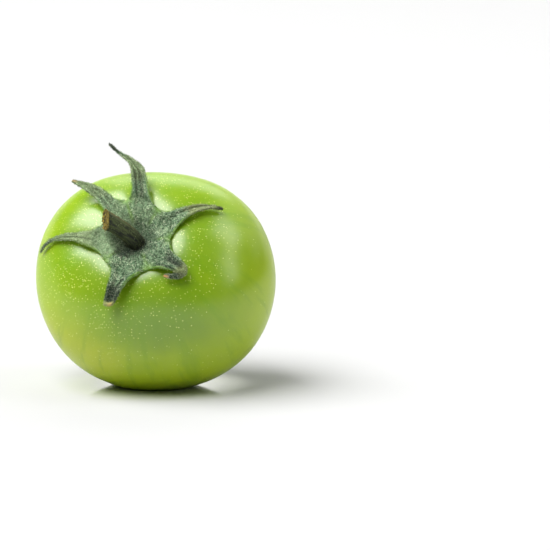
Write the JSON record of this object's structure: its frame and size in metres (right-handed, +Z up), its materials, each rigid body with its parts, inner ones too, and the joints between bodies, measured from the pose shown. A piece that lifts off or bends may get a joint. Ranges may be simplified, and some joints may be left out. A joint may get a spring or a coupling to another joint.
{
  "type": "green tomato",
  "caption": "Round unripe tomato lying on a small flat spot, with its star-shaped calyx of curling sepals and its stub of stem.",
  "frame": {"origin": "on the surface the tomato rests on, under the middle of its outline box", "axes": "+Z up; the stem end faces the front, -Y, and rises about 36.5 degrees, turned 14 degrees towards -X"},
  "size_m": [0.0682, 0.063, 0.0697],
  "materials": {
    "skin": "smooth glossy green skin with tiny pale specks",
    "sepal": "grey-green, felted with short pale hairs",
    "stem": "dull dark olive, with an ochre corky end"
  },
  "bodies": {
    "root": {"fruit": "skin", "calyx": "sepal", "stem": "stem"}
  },
  "joints": []
}
